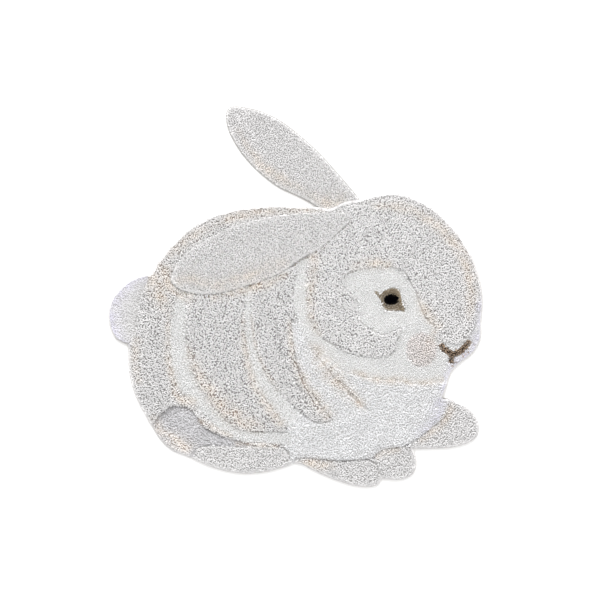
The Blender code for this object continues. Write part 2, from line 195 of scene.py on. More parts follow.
# Bands of pile along a line. Columns: x, y and width in millimetres at each station.
BANDS = {
    "hind stripe": ("stripe white", (
        (-352, 40, 24), (-360, 0, 30), (-371, -60, 44), (-374, -131, 51), (-368, -195, 56),
        (-350, -263, 60), (-328, -298, 52), (-303, -327, 44), (-280, -354, 40), (-253, -384, 36),
        (-229, -405, 33), (-201, -428, 34), (-159, -440, 34), (-98, -443, 34), (-15, -448, 44))),
    "flank stripe": ("stripe white", (
        (-152, 35, 17), (-152, -68, 20), (-144, -144, 26), (-128, -214, 35), (-100, -277, 42),
        (-58, -331, 50), (-8, -388, 64))),
    "shoulder stripe": ("long white", (
        (-2, -74, 28), (8, -131, 44), (27, -195, 51), (55, -255, 57), (97, -315, 64),
        (147, -375, 70))),
    "neck and jaw": ("face white", (
        (30, 140, 20), (22, 115, 26), (16, 52, 35), (13, -5, 41), (20, -60, 38), (43, -112, 41),
        (90, -163, 47), (157, -204, 57), (236, -223, 63), (318, -226, 70), (400, -242, 45),
        (483, -236, 45))),
    "cheek line": ("face white", (
        (286, -222, 45), (325, -182, 36), (357, -143, 27), (386, -109, 27), (408, -88, 26))),
}

# Round and small features of the face, and grooves clipped through pile of one colour.
MUZZLE = (396, -167, 47, 53)
PUPIL = (301, -8, 23, 17)
EYE = (
    (247, 18), (254, 20), (268, 11), (280, 19), (292, 25), (308, 28), (322, 24), (330, 11),
    (334, -14), (341, -34), (343, -47), (332, -43), (308, -42), (284, -41), (275, -27), (266, -8),
    (256, 5))
MOUTH = (
    ((456, -148, 18), (465, -161, 20), (480, -172, 20), (495, -180, 20), (514, -174, 20),
     (528, -163, 19), (541, -149, 19), (548, -136, 17)),
    ((492, -179, 17), (491, -194, 17), (490, -210, 18)),
)
CREASES = {
    "between the forepaws": (
        (250, -516), (262, -542), (268, -568)),
    "under the muzzle": (
        (352, -186), (367, -211), (396, -223)),
    "throat": (
        (17, -68), (30, -125), (59, -176), (125, -258), (179, -309), (223, -353)),
    "shoulder": (
        (-66, -70), (-55, -130), (-40, -190), (-15, -245), (20, -300)),
}

# Lines where the pile is parted and its dark foot shows. Columns: x and y in millimetres.
CUTS = {
    "side of the eye surround": (
        (337, 84), (354, 64), (365, 40), (381, 12), (390, -22), (404, -54), (419, -74),
        (437, -89)),
    "under the eye surround": (
        (203, -77), (232, -99), (271, -118)),
    "under the cheek": (
        (86, -133), (128, -152), (168, -167)),
    "heel of the hind foot": (
        (-340, -351), (-330, -358), (-311, -384), (-302, -400)),
    "over the hind foot": (
        (-286, -416), (-272, -422), (-254, -431)),
    "over the toes": (
        (-205, -449), (-182, -458), (-150, -465)),
    "end of the toes": (
        (-70, -471), (-47, -472), (-27, -486), (-20, -505)),
    "over the near forepaw": (
        (100, -517), (141, -518), (223, -514), (252, -527), (262, -558)),
    "throat": (
        (160, -300), (188, -325), (220, -357)),
    "upper fold of the throat": (
        (135, -262), (165, -284), (195, -310)),
    "fold of the chest": (
        (279, -382), (304, -391)),
    "outer edge of the shoulder stripe": (
        (0, -205), (14, -250), (42, -310), (70, -352)),
}
CUT_HALF_WIDTH = 2.4 * MM

# Places where the yarn is tinted ecru, in part painted warm shade where the pile parts at
# borders, grooves and rims and in part the raw canvas's colour, or lies cool white in the light.
# Columns: x, y and width in millimetres, and how strong: above 0 is ecru, below 0 is cool.
TINTS = {
    "right of the hind stripe": (
        (-340, -150, 20, 0.3), (-328, -205, 28, 0.6), (-296, -262, 32, 0.8),
        (-245, -330, 40, 0.9), (-190, -378, 44, 0.9), (-120, -412, 28, 0.6)),
    "left of the hind stripe": (
        (-402, -60, 12, 0.4), (-405, -130, 16, 0.6), (-402, -200, 18, 0.7), (-388, -255, 20, 0.8),
        (-376, -310, 22, 0.8), (-330, -335, 30, 0.9)),
    "left of the flank stripe": (
        (-168, -60, 12, 0.5), (-162, -150, 16, 0.6), (-150, -225, 20, 0.7), (-125, -290, 22, 0.7),
        (-85, -350, 24, 0.8), (-50, -395, 24, 0.7)),
    "right of the flank stripe": (
        (-140, -60, 8, 0.4), (-128, -150, 12, 0.5), (-100, -225, 14, 0.5), (-60, -290, 14, 0.4)),
    "left of the shoulder stripe": (
        (-22, -80, 14, 0.5), (-16, -140, 16, 0.7), (-4, -200, 20, 0.7), (25, -262, 24, 0.8),
        (62, -320, 28, 0.9), (98, -368, 34, 0.9)),
    "right of the neck stripe": (
        (58, 130, 26, 0.8), (52, 60, 26, 0.7), (46, 0, 22, 0.7), (48, -60, 20, 0.8),
        (70, -110, 20, 0.7)),
    "throat": (
        (60, -165, 34, 0.7), (100, -228, 44, 0.9), (150, -285, 36, 0.8), (200, -332, 26, 0.9)),
    "under the jaw": (
        (180, -236, 16, 0.6), (250, -258, 20, 0.9), (330, -264, 20, 0.9), (400, -270, 18, 0.6),
        (460, -262, 22, 0.8)),
    "inside the forehead's rim": (
        (250, 285, 20, 0.4), (330, 283, 26, 0.6), (425, 240, 26, 0.7), (482, 190, 28, 0.8),
        (525, 130, 28, 0.9), (548, 60, 26, 0.9), (552, -5, 24, 0.8), (548, -60, 18, 0.4)),
    "over the eye surround": (
        (180, 96, 22, 0.4), (240, 108, 26, 0.8), (290, 104, 22, 0.6)),
    "beside the eye surround": (
        (385, 5, 16, 0.5), (400, -30, 26, 0.8), (425, -68, 26, 0.7), (450, -92, 18, 0.4)),
    "muzzle": (
        (378, -150, 40, 0.2), (400, -185, 44, 0.25), (420, -150, 36, 0.35), (436, -112, 20, 0.5)),
    "tail's root": (
        (-452, 60, 34, 0.7), (-440, 30, 44, 0.9), (-425, 0, 44, 0.8), (-410, -30, 26, 0.4)),
    "tip of the near ear": (
        (-414, 92, 34, 0.8), (-400, 48, 40, 1), (-374, 20, 36, 1), (-340, 0, 26, 0.8)),
    "below the near ear": (
        (-262, -4, 20, 0.5), (-170, 22, 24, 0.9), (-100, 42, 26, 0.9), (-40, 68, 20, 0.6)),
    "back": (
        (-392, 138, 24, 0.6), (-345, 175, 26, 0.7), (-270, 222, 22, 0.4), (-192, 254, 24, 0.8),
        (-96, 268, 22, 0.6), (0, 272, 20, 0.5), (80, 266, 18, 0.5)),
    "rump's rim": (
        (-505, -140, 22, 0.7), (-508, -200, 20, 0.6), (-495, -262, 18, 0.5)),
    "heel": (
        (-448, -385, 22, 0.6), (-424, -425, 30, 0.8), (-376, -458, 36, 0.9),
        (-342, -478, 26, 0.8)),
    "over the hind foot": (
        (-300, -392, 16, 0.8), (-262, -412, 14, 0.8), (-205, -438, 12, 0.6)),
    "over the toes": (
        (-190, -464, 10, 0.6), (-120, -466, 12, 0.8), (-60, -470, 12, 0.7)),
    "toe of the near forepaw": (
        (20, -522, 20, 0.8), (62, -526, 26, 0.9), (112, -530, 18, 0.5)),
    "wrist of the middle paw": (
        (258, -505, 14, 0.8), (285, -488, 16, 0.8), (322, -482, 12, 0.5)),
    "wrist of the far forepaw": (
        (395, -452, 16, 0.5), (430, -424, 20, 0.8), (462, -395, 22, 0.9), (488, -352, 18, 0.8)),
    "rim of the nose and chin": (
        (580, -20, 22, -0.6), (578, -90, 24, -0.9), (562, -160, 30, -1), (518, -198, 34, -1),
        (484, -240, 22, -0.8), (464, -300, 22, -0.8)),
    "outer chest": (
        (455, -335, 34, -0.7), (440, -385, 40, -0.6), (400, -425, 36, -0.4)),
    "rim of the tail": (
        (-534, -138, 28, -0.7), (-568, -106, 42, -0.9), (-580, -40, 50, -0.9),
        (-560, 4, 48, -0.9), (-522, 42, 42, -0.8), (-478, 60, 32, -0.6)),
}

# Where the coat shows dark under the near ear's lower edge. Columns: x, half the length along X
# and width in millimetres.
EAR_OPENINGS = (
    (-374, 12, 5), (-332, 26, 3), (-262, 22, 2.8), (-205, 20, 2.8), (-143, 12, 5.5),
    (-104, 10, 2.2), (-66, 12, 2.2), (-5, 20, 6), (33, 8, 2.6), (88, 24, 2.9), (148, 14, 3.2))

# Heights and colours in the pile, how it is rounded at a rim and clipped at a groove, and the
# spacing of the points that the canvas and the lines are drawn with
GROOVE_FLOOR = 9 * MM
GROOVE_HALF_WIDTH = 5 * MM
TALLEST = 18 * MM
RIM_INSETS = (0, 4 * MM, 11 * MM)
RIM_SHARES = (0.5, 0.86, 1)
LUMP_HEIGHT = 1.3 * MM
LUMP_SWAY = (1.3, 0.09)        # how far the waves bend in radians, and the metres to a radian
CALM_SHALLOW = 0.5             # the share of a gap's depth that is lost where the pile is calm
TINT_STEP = 12 * MM
TINT_FADE = 1.6                # how steeply a tint fades over its width
GROOVE_LOOK = 2 * MM           # how far to either side of a border the groups are compared
PRESSED_PILE = 9 * MM
PRESSED_MARGIN = 1 * MM
BANK_HEIGHT = 11.5 * MM
BANK_SLOPE = 2
# Painted shadow: the dark olive of the coat's feet just under the near ear's lower edge
EAR_SHADOW_COLOUR = (148, 131, 98)
LUMP_WAVES = ((61, 0.4, 0.3), (83, 1.7, 1.9), (72, 2.6, 4.0), (47, 3.4, 2.2))
CANVAS_STEP = 9 * MM
GROOVE_STEP = 14 * MM
FACE_STEP = 4 * MM
CANVAS_ROWS = 44
CANVAS_INSET = 3 * MM
CANVAS_LEAST = 0.3
CALM_RIM = 5 * MM
CURVE_STEPS = 16
BODY_MIDDLE = np.array((0, -300)) * MM
BROWN_SHADE = 0.8
RIM_GROUND = (222, 221, 222)
PALE_RIM = (3 * MM, 8 * MM)
# How far past the gap under the near ear its painted shadow reaches
EAR_SHADOW_WIDTH = 3 * MM
FOOT_FLECK_SCALE = 420
WEAVE_WAVE = 0.314             # a wave texture's scale for bands one metre apart
# The feet's colour where the yarn is ecru: painted warm shade
GAP_BROWN = (158, 138, 118)
WEAVE_PITCH = 2.4 * MM


def even_path(stations, step, closed=False):
    """Carries a Catmull-Rom curve through the stations and reads it at even steps.
    Columns after x and y, such as a width, are carried along with them."""
    stations = np.asarray(stations, float)
    if closed:
        row = np.vstack([stations[-1:], stations, stations[:2]])
    else:
        row = np.vstack([2 * stations[0] - stations[1], stations, 2 * stations[-1] - stations[-2]])
    t = np.linspace(0, 1, CURVE_STEPS, endpoint=False)[:, None]
    pieces = []
    for before, start, end, after in zip(row, row[1:], row[2:], row[3:]):
        linear = (end - before) * t
        square = (2 * before - 5 * start + 4 * end - after) * t ** 2
        cubic = (3 * start - before - 3 * end + after) * t ** 3
        pieces.append(0.5 * (2 * start + linear + square + cubic))
    fine = np.vstack(pieces + [row[-2:-1]])
    run = np.hypot(*np.diff(fine[:, :2], axis=0).T)
    travelled = np.concatenate([[0], np.cumsum(run)])
    count = max(2, round(travelled[-1] / step))
    wanted = np.linspace(0, travelled[-1], count + 1)
    path = np.column_stack([np.interp(wanted, travelled, column) for column in fine.T])
    return path[:-1] if closed else path


def left_normals(path, closed=True):
    """Unit vectors to the left of a path, square to the line between each point's neighbours."""
    if closed:
        along = np.roll(path, -1, axis=0) - np.roll(path, 1, axis=0)
    else:
        along = np.gradient(path, axis=0)
    along /= np.hypot(*along.T)[:, None]
    return np.column_stack([-along[:, 1], along[:, 0]])


def blocks(points):
    """The points in blocks of a few thousand, so that the arrays below stay small."""
    return np.array_split(points, len(points) // 3000 + 1)


def inside(points, loop):
    """True for each point inside a loop: a ray towards +X crosses it an odd number of times."""
    start_x, start_y = loop.T
    end_x, end_y = np.roll(loop, -1, axis=0).T
    slope = (end_x - start_x) / np.where(start_y == end_y, 1, end_y - start_y)
    found = []
    for block in blocks(points):
        x, y = block[:, 0, None], block[:, 1, None]
        crossed = ((start_y > y) != (end_y > y)) & (x < start_x + (y - start_y) * slope)
        found.append(crossed.sum(axis=1) % 2 == 1)
    return np.concatenate(found)


def stretches(path, closed=True):
    """The start of each straight stretch of a path, and the vector to its end."""
    ends = np.roll(path, -1, axis=0) if closed else path[1:]
    return path[:len(ends)], ends - path[:len(ends)]


def nearest(points, lines):
    """How far each point lies from the lines, the unit vector to their nearest point, and the
    number of the stretch that it is on. A stretch is met square on, or at its end."""
    start, run = lines
    ways, numbers = [], []
    for block in blocks(points):
        offset = block[:, None] - start
        share = np.clip((offset * run).sum(axis=2) / (run ** 2).sum(axis=1), 0, 1)
        way = share[..., None] * run - offset
        best = (way ** 2).sum(axis=2).argmin(axis=1)
        ways.append(way[np.arange(len(block)), best])
        numbers.append(best)
    way = np.vstack(ways)
    far = np.hypot(*way.T)
    return far, way / np.maximum(far, MM / 1000)[:, None], np.concatenate(numbers)


def band_loop(stations, step):
    """The closed outline of a band: its left edge, and back along its right edge."""
    path = even_path(np.array(stations) * MM, step)
    centre, half_width = path[:, :2], path[:, 2:] / 2
    side = left_normals(centre, closed=False) * half_width
    return np.vstack([centre + side, (centre - side)[::-1]])


def round_loop(size, step):
    """An ellipse from its centre and half its length and width."""
    x, y, half_x, half_y = np.array(size) * MM
    angle = np.linspace(0, 2 * np.pi, round(np.pi * (half_x + half_y) / step), endpoint=False)
    return np.column_stack([x + half_x * np.cos(angle), y + half_y * np.sin(angle)])


def kind_at(points):
    """The kind of pile at each point, as its row in KINDS. A later area covers an earlier one."""
    found = np.zeros(len(points), int)
    for name, _, loop in areas:
        found[inside(points, loop)] = NAMES.index(name)
    return found


def lumps(points):
    """How much higher or lower the long pile lies: a sum of waves with unlike headings."""
    rise = np.zeros(len(points))
    sway = LUMP_SWAY[0] * np.sin(points.sum(axis=1) / LUMP_SWAY[1])
    for wavelength, heading, phase in LUMP_WAVES:
        across = points @ (np.cos(heading), np.sin(heading)) / (wavelength * MM)
        rise += np.sin(2 * np.pi * across + phase + sway)
    return rise * LUMP_HEIGHT / 2


def gap_under_ear(points):
    """Whether a point is beside the near ear's lower edge, and how far it lies past the gap that
    opens there in places. Where there is no gap, that is more than how far the edge is."""
    far, way, _ = nearest(points, near_ear_edge)
    below = (way[:, 1] > 0.2) & ~inside(points, near_ear_loop)
    opened = np.zeros(len(points))
    for x, half_length, width in EAR_OPENINGS:
        opened += width * MM * np.exp(-((points[:, 0] / MM - x) / half_length) ** 2)
    return below, far - opened + PRESSED_MARGIN


def pile_height(points):
    """The clipped height of the body's pile: the kind's own, down to the groove's floor near a
    groove, and rounded off at the rim."""
    kinds = kind_at(points)
    height = np.array([kind[1] for kind in KINDS])[kinds] * MM
    height = height + np.where(height >= TALLEST, lumps(points), 0)
    beside = nearest(points, grooves)[0] / GROOVE_HALF_WIDTH
    height = np.minimum(height, GROOVE_FLOOR + beside * (TALLEST - GROOVE_FLOOR))
    below_ear, past_gap = gap_under_ear(points)
    bank = np.where(past_gap > 0, BANK_HEIGHT + BANK_SLOPE * past_gap, PRESSED_PILE)
    height = np.where(below_ear, np.minimum(height, bank), height)
    return height * np.interp(nearest(points, body_edge)[0], RIM_INSETS, RIM_SHARES)


def canvas_height(points, pile, calm):
    """The bottom of the gaps between the tufts: the pile's height less its kind's depth, which
    is less where the pile is calm."""
    depth = np.array([kind[3] for kind in KINDS])[kind_at(points)] * MM
    return np.maximum(pile - depth * (1 - CALM_SHALLOW * calm), pile * CANVAS_LEAST)


def tint_at(points, lines):
    """How ecru or cool the yarn is, 1 to -1: strongest along each line and fading over its width
    as a bell, in blotches."""
    tint = np.zeros(len(points))
    for stations in lines:
        path = even_path(np.array(stations) * (MM, MM, MM, 1), TINT_STEP)
        far, _, number = nearest(points, stretches(path[:, :2], closed=False))
        line_tint = path[number, 3] * np.exp(-(TINT_FADE * far / path[number, 2]) ** 2)
        tint = np.where(np.abs(line_tint) > np.abs(tint), line_tint, tint)
    x, y = points.T / MM
    blotch = np.sin(x / 13 + 2 * np.sin(y / 23)) * np.sin(y / 11 + 2 * np.sin(x / 29))
    return tint * (0.72 + 0.4 * blotch).clip(0, 1)


def calm_at(points):
    """How smooth the pile lies, 0 to 1: smoothest at the rim, where it is combed outwards, and
    where it is cool white."""
    at_rim = 1 - nearest(points, body_edge)[0] / CALM_RIM
    return np.maximum(at_rim, -tint_at(points, TINTS.values())).clip(0, 1)


def linear(colour):
    """An sRGB colour of 0 to 255 as the linear light that Blender's materials use."""
    return (np.array(colour) / 255) ** 2.2


def make_mesh(name, points, faces, uv, values, smooth=True):
    """A mesh object from points in the drawing's frame, faces of equal length, a UV for each
    corner of a face, and named numbers or colours at the points."""
    mesh = bpy.data.meshes.new(name)
    mesh.vertices.add(len(points))
    mesh.vertices.foreach_set("co", (points + PLACE).astype(np.float32).ravel())
    mesh.loops.add(faces.size)
    mesh.loops.foreach_set("vertex_index", faces.astype(np.int32).ravel())
    mesh.polygons.add(len(faces))
    mesh.polygons.foreach_set("loop_start", np.arange(0, faces.size, faces.shape[1]))
    mesh.polygons.foreach_set("use_smooth", np.full(len(faces), smooth))
    mesh.update(calc_edges=True)
    mesh.uv_layers.new(name="UVMap").data.foreach_set("uv", uv.astype(np.float32).ravel())
    for title, numbers in values.items():
        if numbers.ndim == 1:
            mesh.attributes.new(title, "FLOAT", "POINT").data.foreach_set(
                "value", numbers.astype(np.float32))
        else:
            colours = np.column_stack([numbers, np.ones(len(numbers))])
            mesh.attributes.new(title, "FLOAT_COLOR", "POINT").data.foreach_set(
                "color", colours.astype(np.float32).ravel())
    made = bpy.data.objects.new(name, mesh)
    bpy.context.collection.objects.link(made)
    return made


def canvas_mesh(name, loop, middle, floor_height, top_at, ground_at):
    """Cloth with the feet of its pile, as one closed grid. Its rows run from a pole at the middle
    of the top out to the rim as straight shares of the way, and back under to a pole below.
    Its columns follow the outline, a little inside it."""
    rim = loop + left_normals(loop) * CANVAS_INSET
    columns = len(rim)
    out = np.linspace(0, 1, CANVAS_ROWS + 1)[1:]
    shares = np.concatenate([out, [1, 0.5]])
    flat = middle + shares[:, None, None] * (rim - middle)
    top = flat[:CANVAS_ROWS].reshape(-1, 2)
    heights = np.concatenate([top_at(top), np.full(2 * columns, floor_height)])
    poles = np.array([(*middle, 0), (*middle, 0)], float)
    poles[:, 2] = top_at(middle[None])[0], floor_height
    points = np.vstack([np.column_stack([flat.reshape(-1, 2), heights]), poles])

    row, column = np.mgrid[:len(shares) - 1, :columns]
    after = (column + 1) % columns
    first, second = row * columns + column, row * columns + after
    third, fourth = second + columns, first + columns
    sides = np.vstack([np.stack([first, third, second], -1).reshape(-1, 3),
                       np.stack([first, fourth, third], -1).reshape(-1, 3)])
    ring, turned = np.arange(columns), np.roll(np.arange(columns), -1)
    last = (len(shares) - 1) * columns
    pole = len(points) - 2
    faces = np.vstack([
        sides,
        np.column_stack([np.full(columns, pole), ring, turned]),
        np.column_stack([np.full(columns, pole + 1), last + turned, last + ring])])
    if np.cross(rim[0] - middle, rim[columns // 8] - middle) < 0:
        faces = faces[:, ::-1]

    low, high = points[:, :2].min(axis=0), points[:, :2].max(axis=0)
    plan = (points[:, :2] - low) / (high - low).max() * 0.96 + 0.02
    under = np.zeros(len(points))
    under[CANVAS_ROWS * columns:-2] = 1
    under[-1] = 1
    below = (under[faces].min(axis=1) > 0)[:, None, None]
    uv = plan[faces] * (1, 0.49) + np.where(below, (0, 0.5), (0, 0))
    ground = ground_at(points[:, :2])
    return make_mesh(name, points, faces, uv, {"ground": ground, "underside": under})


def add_node(material, kind, **settings):
    """A new node of that kind in a material, with its settings."""
    node = material.node_tree.nodes.new(kind)
    for title, value in settings.items():
        setattr(node, title, value)
    return node


def mix_colours(material, share, first, second, blend="MIX"):
    """A node's output that goes from the first colour to the second as the share goes 0 to 1.
    The share and the colours are outputs of other nodes, or fixed values."""
    node = add_node(material, "ShaderNodeMix", data_type="RGBA", blend_type=blend)
    for socket, value in ((node.inputs[0], share), (node.inputs[6], first),
                          (node.inputs[7], second)):
        if isinstance(value, bpy.types.NodeSocket):
            material.node_tree.links.new(value, socket)
        elif np.ndim(value):
            socket.default_value = (*value, 1)
        else:
            socket.default_value = value
    return node.outputs[2]


def add_noise(material, place, scale, detail):
    """Noise on the piece's own coordinates, finer as the scale rises."""
    noise = add_node(material, "ShaderNodeTexNoise")
    noise.inputs["Scale"].default_value = scale
    noise.inputs["Detail"].default_value = detail
    material.node_tree.links.new(place.outputs["Object"], noise.inputs["Vector"])
    return noise


def add_bump(material, height, strength, depth):
    """Fine relief on a material's surface: as deep as that where the height goes 0 to 1."""
    bump = add_node(material, "ShaderNodeBump")
    bump.inputs["Strength"].default_value = strength
    bump.inputs["Distance"].default_value = depth
    links, shader = material.node_tree.links, material.node_tree.nodes["Principled BSDF"]
    links.new(height, bump.inputs["Height"])
    links.new(bump.outputs["Normal"], shader.inputs["Normal"])


def canvas_finish():
    """Feet of the yarn in the colour of their area, painted dark as shade between the tufts, and
    flecked, and below them plain woven canvas: two sets of bands at the weave's pitch, square to
    each other."""
    material = bpy.data.materials.new("tufted canvas")
    material.use_nodes = True
    tree = material.node_tree
    place = add_node(material, "ShaderNodeTexCoord")
    ground = add_node(material, "ShaderNodeAttribute", attribute_name="ground")
    under = add_node(material, "ShaderNodeAttribute", attribute_name="underside")
    fleck = add_noise(material, place, FOOT_FLECK_SCALE, 3)
    feet = mix_colours(material, fleck.outputs["Fac"], (0.75, 0.73, 0.7), (1.2, 1.2, 1.2))
    feet = mix_colours(material, 1.0, ground.outputs["Color"], feet, "MULTIPLY")
    threads = []
    for direction in ("X", "Y"):
        wave = add_node(material, "ShaderNodeTexWave", bands_direction=direction)
        wave.inputs["Scale"].default_value = WEAVE_WAVE / WEAVE_PITCH
        wave.inputs["Distortion"].default_value = 0.6
        wave.inputs["Detail Scale"].default_value = 40
        tree.links.new(place.outputs["Object"], wave.inputs["Vector"])
        threads.append(wave.outputs["Fac"])
    weave = add_node(material, "ShaderNodeMath", operation="MULTIPLY")
    tree.links.new(threads[0], weave.inputs[0])
    tree.links.new(threads[1], weave.inputs[1])
    cloth = mix_colours(material, weave.outputs[0], (0.42, 0.38, 0.31), (0.66, 0.62, 0.54))
    colour = mix_colours(material, under.outputs["Fac"], feet, cloth)
    shader = tree.nodes["Principled BSDF"]
    tree.links.new(colour, shader.inputs["Base Color"])
    shader.inputs["Roughness"].default_value = 0.95
    shader.inputs["Specular IOR Level"].default_value = 0.15
    add_bump(material, weave.outputs[0], 0.6, 0.6 * MM)
    return material


body_stretches = {name: even_path(np.array(stations) * MM, CANVAS_STEP)
                  for name, stations in OUTLINE.items()}
body_loop = np.vstack([part[:-1] for part in body_stretches.values()])
body_edge = stretches(body_loop)
near_ear_loop = even_path(np.array(NEAR_EAR) * MM, CANVAS_STEP, closed=True)
near_ear_edge = stretches(near_ear_loop)

# The drawing is moved so that the body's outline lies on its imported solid.
solid_low, solid_high = (np.array(corner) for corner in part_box("rug_body"))
drawn_middle = (body_loop.min(axis=0) + body_loop.max(axis=0)) / 2
PLACE = np.append((solid_low + solid_high)[:2] / 2 - drawn_middle, 0)

areas = [(kind, border, even_path(np.array(stations) * MM, GROOVE_STEP, closed=True))
         for kind, border, stations in PATCHES.values()]
areas += [(kind, "clipped", band_loop(stations, GROOVE_STEP)) for kind, stations in BANDS.values()]
areas.append(("beige", "soft", round_loop(MUZZLE, FACE_STEP)))
areas.append(("olive brown", "clipped", even_path(np.array(EYE) * MM, FACE_STEP, closed=True)))
areas.append(("black", "clipped", round_loop(PUPIL, FACE_STEP)))
areas += [("dark brown", "clipped", band_loop(stations, FACE_STEP)) for stations in MOUTH]

# A groove runs where the two sides of a clipped border belong to different groups.
groups = np.array([kind[2] for kind in KINDS])
groove_parts = [stretches(even_path(np.array(stations) * MM, GROOVE_STEP), closed=False)
                for stations in CREASES.values()]
for loop in (loop for _, border, loop in areas if border == "clipped"):
    start, run = stretches(loop)
    spot = start + run / 2
    side = np.column_stack([-run[:, 1], run[:, 0]]) / np.hypot(*run.T)[:, None] * GROOVE_LOOK
    parted = groups[kind_at(spot + side)] != groups[kind_at(spot - side)]
    groove_parts.append((start[parted], run[parted]))
grooves = tuple(np.vstack(columns) for columns in zip(*groove_parts))
cuts = tuple(np.vstack(columns) for columns in zip(*(
    stretches(even_path(np.array(stations) * MM, GROOVE_STEP), closed=False)
    for stations in CUTS.values())))


def ground_at(points):
    """The colour of the yarn's feet: that of their kind, darkened as painted shade between the
    tufts, browner where the yarn is ecru as painted warm shade, a painted shadow under the near
    ear's lower edge, and pale at the rim, where the painted shade is left off."""
    # painted shade: the feet are darker than their yarn by their kind's share
    colours = np.array([linear(kind[5]) * kind[4] for kind in KINDS])[kind_at(points)]
    # painted warm shade: browner, darker feet where the yarn is ecru
    warm = tint_at(points, TINTS.values()).clip(0, 1)[:, None] * BROWN_SHADE
    colours = colours * (1 - warm) + linear(GAP_BROWN) * warm
    rim = np.interp(nearest(points, body_edge)[0], PALE_RIM, (1, 0))[:, None]
    colours = colours * (1 - rim) + linear(RIM_GROUND) * rim
    below_ear, past_gap = gap_under_ear(points)
    # painted shadow of the near ear's lower edge on the coat's feet
    ear_shadow = (below_ear & (past_gap < EAR_SHADOW_WIDTH))[:, None]
    return np.where(ear_shadow, linear(EAR_SHADOW_COLOUR), colours)


body_canvas = canvas_mesh(
    "body_canvas", body_loop, BODY_MIDDLE, 0,
    lambda points: canvas_height(points, pile_height(points), calm_at(points)), ground_at)
body_canvas.data.materials.append(canvas_finish())
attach(body_canvas, "root")
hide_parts("rug_body")


# The grey coat: thick soft cotton yarn, tufted long and cut, so that each end falls over its
# neighbours in its own direction and dark gaps show between. It covers the rump, flank and head,
# and the head's has fewer gaps and is painted paler, as painted light that falls brighter there.

COAT_PITCH = 4.7 * MM
COAT_YARN = 8.2 * MM
COAT_FALL = 3.2 * MM
# Painted light: the head's coat yarn is paler, as light falls brighter on the head
LIT_HEAD_COAT_COLOUR = (231, 230, 230)
THIN_PATCHES = 0.6
# Ecru yarn: in part painted warm shade where the pile parts, in part the canvas's colour
ECRU_COLOUR = (236, 229, 221)
COOL_COLOUR = (217, 215, 226)
# The foot of ecru yarn: painted warm shade
ECRU_GAP_COLOUR = (203, 185, 168)
# The painted shade at a yarn's foot, as a share of its colour
GAP_SHARE = 0.85
YARN_SHARES = np.array((0, 0.86, 1))   # of its length, at its foot, its shoulder and its end
YARN_SWELL = np.array((0.6, 1))         # of its thickness, at its foot and its shoulder
YARN_SIDES = 4
YARN_LEAN, YARN_RISE = 0.18, 1.08       # where a yarn bends: shares of its fall and of its height
SPOT_SHIFT = 0.28              # how far a tuft is moved from its lattice, as a share of the pitch
ROW_SHARE = 0.866              # the spacing of the lattice's rows, as a share of the pitch
FALL_RANGE = (0.55, 1.2)       # the least and most of its length that a yarn falls over
RIM_TURN = 1.6                 # how strongly a yarn turns outwards at the rim
RIM_FOOT_SHARE = 0.35          # how high a rim yarn's foot is, as a share of its end
GROOVE_REACH, GROOVE_FALL = (2, 12), (0.35, 1)      # millimetres, and the share of the fall there
EAR_CLEARANCE = 1 * MM
PATCH_SCALE, FIBRE_SCALE = 28, 900
RIM_COMB = 15 * MM
RIM_YARN = 4.6 * MM
RIM_MARGIN = 1.8 * MM
TUFT_FOOT = 1.5 * MM
# Rows of yarn that stand out at the rim. Columns: how far inside the outline its feet stand, how
# far its ends stop short of it, the height of its ends, and its spacing.
BODY_RIM_ROWS = (
    (8 * MM, 1.2 * MM, 4 * MM, 3.4 * MM), (11 * MM, 2.2 * MM, 7.5 * MM, 4.4 * MM),
    (15 * MM, 4 * MM, 11.5 * MM, 7.5 * MM))


def scatter(loop, pitch, rng):
    """A triangular lattice of spots over a loop's box, each moved at random by a share of the
    pitch."""
    low, high = loop.min(axis=0), loop.max(axis=0)
    rows = np.arange(low[1], high[1], pitch * ROW_SHARE)
    columns = np.arange(low[0], high[0], pitch)
    x, y = np.meshgrid(columns, rows)
    x = x + (np.arange(len(rows)) % 2)[:, None] * pitch / 2
    spots = np.column_stack([x.ravel(), y.ravel()])
    return spots + rng.uniform(-SPOT_SHIFT, SPOT_SHIFT, spots.shape) * pitch


def unit(vectors):
    """The vectors at length one."""
    return vectors / np.maximum(np.linalg.norm(vectors, axis=-1, keepdims=True), 1e-9)


def fall_of(spots, edge, length, rng, comb=None, ruffle=1.0):
    """Which way and how far each yarn falls over: a random direction, or partly that of the comb.
    Near the rim it turns outwards, and no end passes the rim."""
    angle = rng.uniform(0, 2 * np.pi, len(spots))
    heading = np.column_stack([np.cos(angle), np.sin(angle)])
    if comb is not None:
        heading = unit(comb + ruffle * heading)
    far, outward, _ = nearest(spots, edge)
    near = (1 - far / RIM_COMB).clip(0, 1)[:, None]
    heading = unit(heading * (1 - near) + outward * RIM_TURN * near)
    fall = heading * (length * rng.uniform(*FALL_RANGE, len(spots)))[:, None]
    past = (fall * outward).sum(axis=1) - (far - RIM_MARGIN)
    return fall - outward * past.clip(0, None)[:, None]


